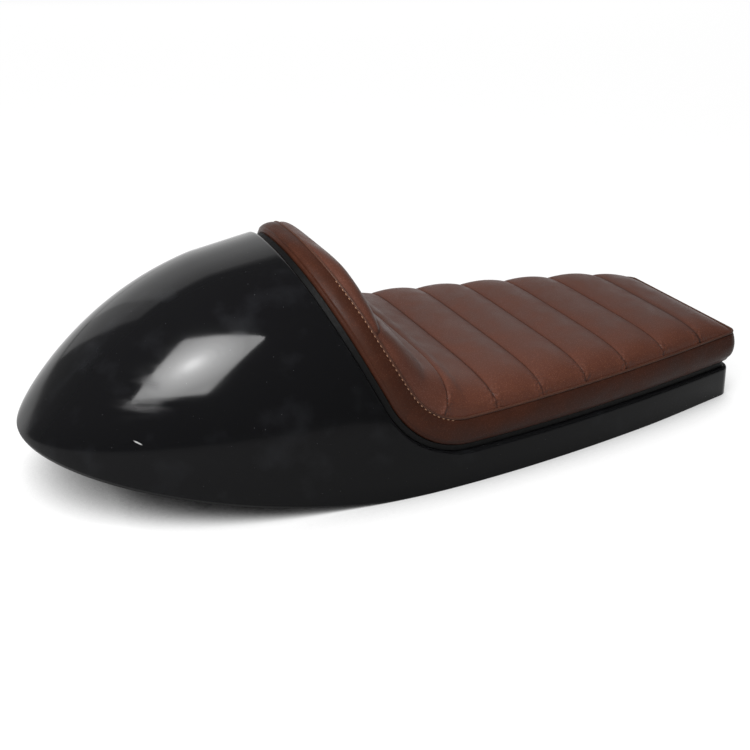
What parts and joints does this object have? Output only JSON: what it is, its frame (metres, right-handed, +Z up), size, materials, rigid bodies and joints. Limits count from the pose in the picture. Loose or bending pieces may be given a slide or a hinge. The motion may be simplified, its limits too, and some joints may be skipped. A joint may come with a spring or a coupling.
{
  "type": "cafe racer seat",
  "caption": "Single motorcycle seat: a hollow moulded shell with a rounded tail hump and a channelled leather pad that climbs its front.",
  "frame": {"origin": "on the base plane, midway between the tail tip and the front of the pad, on the centreline", "axes": "+X towards the front of the seat, +Y to the rider's left, +Z up"},
  "size_m": [0.611, 0.28, 0.175],
  "materials": {
    "shell": "glossy black moulded shell with faint scuffs",
    "pan": "plain black plastic",
    "foam": "seat foam, hidden by the cover",
    "cover": "dark brown grained leather with a soft sheen",
    "cover_side": "dark brown grained leather with a tan top stitch",
    "steel": "zinc plated steel"
  },
  "bodies": {
    "root": {"cowl_shell": "shell", "seat_pan": "pan", "foam_core": "foam", "cover_top": "cover", "cover_band": "cover_side", "pan_studs": "steel", "washers": "steel", "lock_nuts": "steel"}
  },
  "joints": []
}
